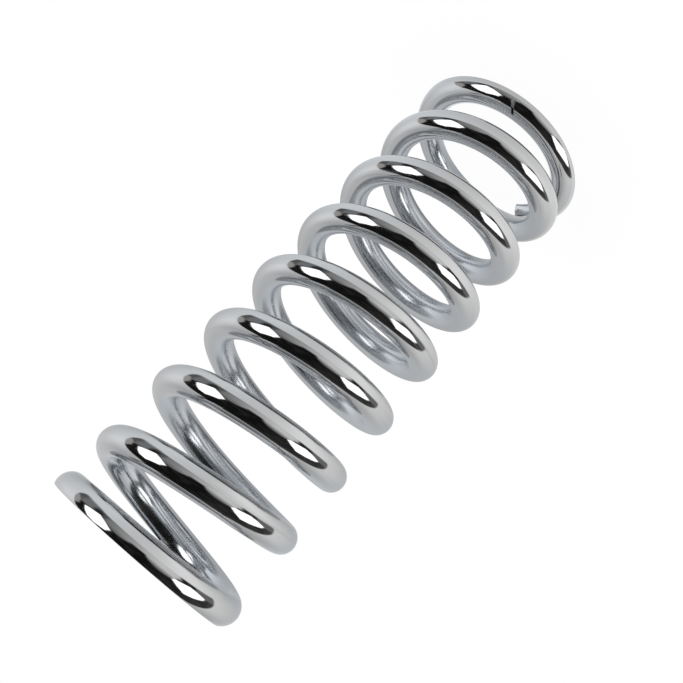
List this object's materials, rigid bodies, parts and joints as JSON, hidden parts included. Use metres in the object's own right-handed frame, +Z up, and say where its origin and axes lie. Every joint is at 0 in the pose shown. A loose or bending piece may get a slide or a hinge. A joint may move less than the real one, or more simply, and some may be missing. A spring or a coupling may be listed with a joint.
{
  "type": "coilover spring",
  "caption": "Right-hand helical compression spring of round chromed wire with closed, ground flat ends, for a coilover damper.",
  "frame": {"origin": "middle of the base end's ground face, on the coil axis", "axes": "+Z up the coil axis from the base end to the top end; +X and +Y across the coil, with the base wire tip 143 degrees from +X"},
  "size_m": [0.0896, 0.0896, 0.25],
  "materials": {
    "chromed_wire": "bright polished chrome plating on round spring wire"
  },
  "bodies": {
    "root": {"coil_spring": "chromed_wire"}
  },
  "joints": []
}
